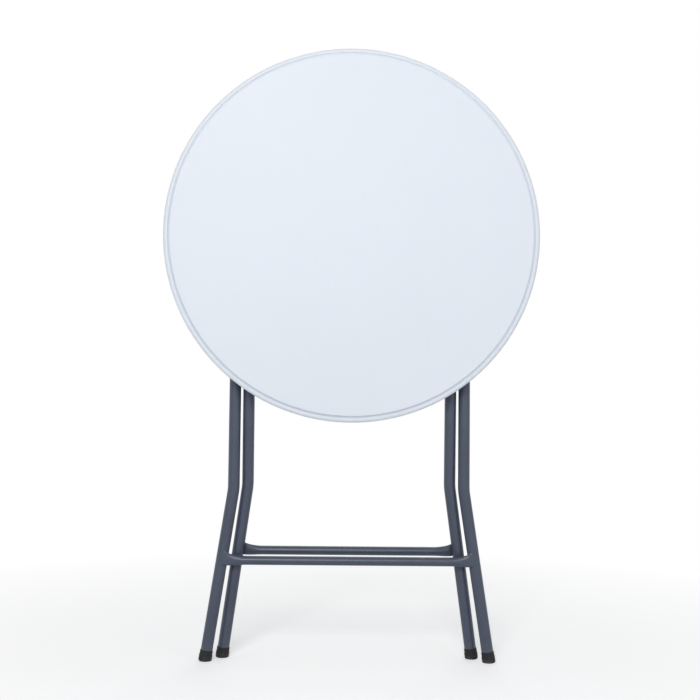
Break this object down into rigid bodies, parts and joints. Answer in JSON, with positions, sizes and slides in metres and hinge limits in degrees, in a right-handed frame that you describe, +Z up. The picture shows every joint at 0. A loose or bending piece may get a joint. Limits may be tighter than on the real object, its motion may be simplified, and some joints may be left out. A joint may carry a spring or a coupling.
{
  "type": "folding cocktail table",
  "caption": "Tall folding table with a round hollow moulded top that hangs flat against two crossing tube frames when stored.",
  "frame": {"origin": "on the floor, under the middle of the width and depth of the stored table", "axes": "+X to the right seen from the face of the stored top, +Y away from that viewer, +Z up"},
  "size_m": [0.8, 0.0928, 1.3059],
  "materials": {
    "white_plastic": "fine-textured white moulded polyethylene",
    "frame_paint": "blue-grey powder coat, semi-gloss",
    "zinc_steel": "bright zinc plate",
    "black_rubber": "matt black rubber",
    "black_plastic": "black moulded plastic"
  },
  "bodies": {
    "front_frame": {"front_left_leg": "frame_paint", "front_right_leg": "frame_paint", "front_crossbar": "frame_paint", "hinge_tube": "frame_paint", "hinge_tube_plugs": "black_plastic", "hinge_collars": "zinc_steel", "left_stop_plate": "zinc_steel", "right_stop_plate": "zinc_steel", "left_stay_catch": "frame_paint", "right_stay_catch": "frame_paint", "front_left_foot": "black_rubber", "front_right_foot": "black_rubber", "pivot_bolts": "zinc_steel", "pivot_nuts": "zinc_steel"},
    "rear_frame": {"rear_left_leg": "frame_paint", "rear_right_leg": "frame_paint", "rear_crossbar": "frame_paint", "rear_top_bar": "frame_paint", "rear_leg_plugs": "black_plastic", "rear_left_foot": "black_rubber", "rear_right_foot": "black_rubber", "stop_pins": "zinc_steel", "pivot_bushes": "black_plastic"},
    "tabletop": {"top_panel": "white_plastic", "left_rail": "frame_paint", "right_rail": "frame_paint", "rail_screws": "zinc_steel", "left_hinge_saddle": "zinc_steel", "right_hinge_saddle": "zinc_steel", "saddle_screws": "zinc_steel", "stay_left_bracket": "zinc_steel", "stay_right_bracket": "zinc_steel", "bracket_screws": "zinc_steel", "stay_pivot_pins": "zinc_steel", "stay_clips": "black_plastic", "bumper_pads": "black_rubber"},
    "stay": {"stay_left_arm": "zinc_steel", "stay_right_arm": "zinc_steel", "stay_bar": "zinc_steel"}
  },
  "joints": [
    {"name": "legs_spread", "type": "hinge", "parent": "front_frame", "child": "rear_frame", "pos_m": [0, 0.0152, 0.64978], "axis": [1, 0, 0], "range_deg": [0, 45]},
    {"name": "top_tilt", "type": "hinge", "parent": "front_frame", "child": "tabletop", "pos_m": [0, 0.02748, 1.11862], "axis": [-1, 0, 0], "range_deg": [0, 66]},
    {"name": "stay_swing", "type": "hinge", "parent": "tabletop", "child": "stay", "pos_m": [0, -0.00201, 0.69924], "axis": [-1, 0, 0], "range_deg": [0, 29.27]}
  ]
}
